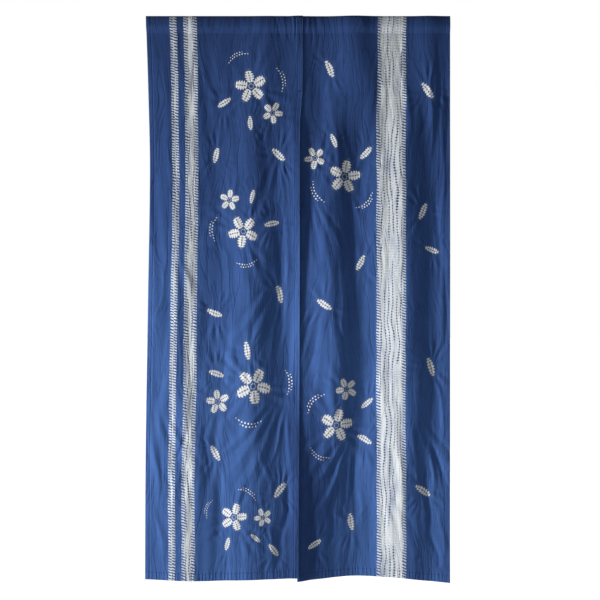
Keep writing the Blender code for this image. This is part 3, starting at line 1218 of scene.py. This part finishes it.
def cloth_line(panel, shares, depths, inset, over):
    """Points on the cloth along a line, at this height over its front."""
    blank = np.zeros_like(depths)
    columns = Column(shares, blank + inset, blank + over, blank)
    return hung_points(panel, columns, Row(depths, blank, blank, blank + 1.0, blank))


def stitches_between(starts, ends, thickness):
    """One stretched ball from each start to each end, as points and faces."""
    ball, faces = stitch_ball()
    way = ends - starts
    length = np.linalg.norm(way, axis=1, keepdims=True)
    way = way / length
    # Out of the cloth, as far as that is at right angles to the stitch.
    out = np.array([0.0, -1.0, 0.0]) + way * way[:, 1:2]
    out /= np.linalg.norm(out, axis=1, keepdims=True)
    aside = np.cross(way, out)
    points = (
        ((starts + ends) / 2)[:, None]
        + ball[None, :, 0:1] * (way * length)[:, None]
        + ball[None, :, 1:2] * aside[:, None] * thickness
        + ball[None, :, 2:3] * out[:, None] * thickness * THREAD_FLATNESS
    )
    faces = faces[None] + (np.arange(len(starts)) * len(ball))[:, None, None]
    return points.reshape(-1, 3), faces.reshape(-1, 3)


def steps_along(start, end):
    """Where stitches start and end between two places on a straight line."""
    count = int((end - start) / (STITCH_LENGTH + STITCH_GAP))
    pitch = (end - start) / count
    starts = start + pitch * np.arange(count)
    return starts, starts + pitch * STITCH_LENGTH / (STITCH_LENGTH + STITCH_GAP)


# %% Every stitch of a panel
def panel_stitches(panel):
    """The starts and the ends of all stitches on a panel's cloth."""
    over = CLOTH / 2 + THREAD * THREAD_RISE
    behind_foot, behind_side = -2 * FOOT_TURN - over, -2 * SIDE_TURN - over
    behind_pocket = -POCKET_SEAM - over
    foot_depth = HEM_NOMINAL - FOOT_HEM + FROM_HEM_EDGE
    edge = SIDE_HEM - FROM_HEM_EDGE
    across = steps_along(CLEAR_OF_ENDS, FLAT_PANEL - CLEAR_OF_ENDS)
    upright = steps_along(POCKET_HEIGHT + CLEAR_OF_ENDS, HEM_NOMINAL - CLEAR_OF_ENDS)
    level_lines = (
        (POCKET_HEIGHT - FROM_POCKET_SEAM, over),
        (POCKET_HEIGHT + FROM_POCKET_SEAM, behind_pocket),
        (foot_depth, over),
        (foot_depth, behind_foot),
    )
    upright_lines = (
        (edge / FLAT_PANEL, 0, over),
        (0, edge, behind_side),
        (1 - edge / FLAT_PANEL, 0, over),
        (1, -edge, behind_side),
    )
    ends_of_stitches = []
    for way, depth in zip(across, upright):
        share, flat, level = way / FLAT_PANEL, np.zeros_like(way), np.zeros_like(depth)
        lines = [cloth_line(panel, share, flat + at, 0, out) for at, out in level_lines]
        for at, inset, out in upright_lines:
            lines.append(cloth_line(panel, level + at, depth, inset, out))
        ends_of_stitches.append(np.concatenate(lines))
    return ends_of_stitches


def bar_tack(panel):
    """The tight bar of stitches at the top of the slit."""
    shares = 1 - np.linspace(TACK_FROM_EDGE, TACK_TO, TACK_STITCHES) / FLAT_PANEL
    over = (CLOTH + THREAD) / 2
    level = np.full_like(shares, SEAM_FOOT)
    halves = (-TACK_HALF_HEIGHT, TACK_HALF_HEIGHT)
    return [cloth_line(panel, shares, level + half, 0, over) for half in halves]


threads = []
dark_thread = Finish(
    bpy.data.materials.new("indigo_thread"),
    Base_Color=(0.010, 0.020, 0.060, 1.0),
    Roughness=0.7,
    Specular_IOR_Level=0.3,
)
for panel in PANELS:
    starts, ends = panel_stitches(panel)
    if panel.side < 0:
        upper, lower = bar_tack(panel)
        starts, ends = np.concatenate([starts, upper]), np.concatenate([ends, lower])
    points, faces = stitches_between(starts, ends, THREAD)
    mesh = bpy.data.meshes.new(panel.name.replace("cloth", "stitches"))
    mesh.from_pydata(points.tolist(), [], faces.tolist())
    mesh.shade_smooth()
    mesh.materials.append(dark_thread.block)
    thread = bpy.data.objects.new(mesh.name, mesh)
    bpy.context.collection.objects.link(thread)
    threads.append(thread)
    print(mesh.name, len(starts), "stitches,", len(mesh.polygons), "triangles")

# %% [markdown]
# ## The studio
# The window light in the photograph grazes the cloth from the left, a little below the
# middle: slopes that face left are bright, and slopes that face right are dark. One soft
# lamp out to the left makes that. A second, weaker one behind shows the back's folds.

# %% Soft light
Lamp = namedtuple("Lamp", "name place aim size spread watts")
LAMPS = rows_of(
    Lamp,
    ("window", (-3.6, -0.96, -1.35), (0.0, 0.0, -0.85), 0.7, 80, 42.0),
    ("rear_window", (3.4, 1.1, -0.5), (0.0, 0.0, -0.80), 0.9, 80, 10.0),
)
for lamp in LAMPS:
    data = bpy.data.lights.new(lamp.name, "AREA")
    data.size = lamp.size
    data.spread = math.radians(lamp.spread)
    data.energy = lamp.watts
    light = bpy.data.objects.new(lamp.name, data)
    light.location = lamp.place
    aim = Vector(lamp.aim) - Vector(lamp.place)
    light.rotation_euler = aim.to_track_quat("-Z", "Y").to_euler()
    bpy.context.collection.objects.link(light)

# %% [markdown]
# The room around is a dim one with a pale band along the horizon, as a round studio wall
# gives it. Behind the curtain the band is pure white, and so is the floor there: that is
# the ground of the picture. Nearly all of that white lies where it can't light the cloth's
# front. On the camera's side band and floor are pale grey, which softens the folds' shade.

# %% A room with a pale horizon, and a pale floor
FLOOR_DROP = 0.60
FLOOR_HALF_WIDTH = 40.0
DIM_ROOM = (0.03, 0.03, 0.03, 1.0)
FRONT_HORIZON = (0.30, 0.32, 0.34, 1.0)
FRONT_PAPER = (0.18, 0.185, 0.19, 1.0)
WHITE = (1.0, 1.0, 1.0, 1.0)
WALL_TURNS_WHITE = (-0.05, 0.30)
WALL_TURNS_DIM = (0.28, 0.55)
FLOOR_TURNS_WHITE = (0.6, 1.4)

room = Finish(bpy.data.worlds.new("room"), "Background")
_, backwards, upwards = room.split(room.node("TexCoord"))
horizon = room.mix(backwards.rise(*WALL_TURNS_WHITE), FRONT_HORIZON, WHITE)
room.give(Color=room.mix(upwards.rise(*WALL_TURNS_DIM), horizon, DIM_ROOM))
bpy.context.scene.world = room.block

plane = bmesh.new()
bmesh.ops.create_grid(plane, x_segments=1, y_segments=1, size=FLOOR_HALF_WIDTH)
floor_mesh = bpy.data.meshes.new("floor")
plane.to_mesh(floor_mesh)
plane.free()
floor = bpy.data.objects.new("floor", floor_mesh)
floor.location.z = cad_low.z - FLOOR_DROP
bpy.context.collection.objects.link(floor)

paper = Finish(
    bpy.data.materials.new("pale_paper"),
    Base_Color=(0.7, 0.7, 0.7, 1.0),
    Roughness=0.9,
    Emission_Strength=1.0,
)
_, back, _ = paper.split(paper.node("TexCoord", output=OBJECT_PLACE))
paper.give(Emission_Color=paper.mix(back.rise(*FLOOR_TURNS_WHITE), FRONT_PAPER, WHITE))
floor_mesh.materials.append(paper.block)

# %% [markdown]
# The photograph was taken square on, from the height of the curtain's middle. A long lens
# some way off gives the same flat look, and the curtain's place in the picture sets it.

# %% The camera
PHOTO_SIDE_PX = 600
CURTAIN_TOP_PX = 16
CURTAIN_MIDDLE_PX = 298
METRES_PER_PX = 0.00265
CAMERA_DISTANCE = 3.2
SENSOR_MM = 36.0

camera_data = bpy.data.cameras.new("camera")
camera_data.sensor_width = SENSOR_MM
camera_data.lens = SENSOR_MM * CAMERA_DISTANCE / (PHOTO_SIDE_PX * METRES_PER_PX)
camera = bpy.data.objects.new("camera", camera_data)
camera.location = (
    (PHOTO_SIDE_PX / 2 - CURTAIN_MIDDLE_PX) * METRES_PER_PX,
    -CAMERA_DISTANCE,
    (CURTAIN_TOP_PX - PHOTO_SIDE_PX / 2) * METRES_PER_PX,
)
camera.rotation_euler = (math.radians(90), 0.0, 0.0)
bpy.context.collection.objects.link(camera)
bpy.context.scene.camera = camera
bpy.context.scene.view_settings.view_transform = "Standard"
print(f"lens {camera_data.lens:.1f} mm, {CAMERA_DISTANCE} m away")

# %% [markdown]
# ## Attaching each piece
# The two sheets stand for the solids of the panels and of the pocket, which are hidden.
# The sheets and the stitches are attached to the root body.

# %% Riding and replacing
for piece in (*cloths.values(), *threads):
    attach(piece, "root")
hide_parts("left_panel", "rod_pocket")
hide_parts("right_panel")
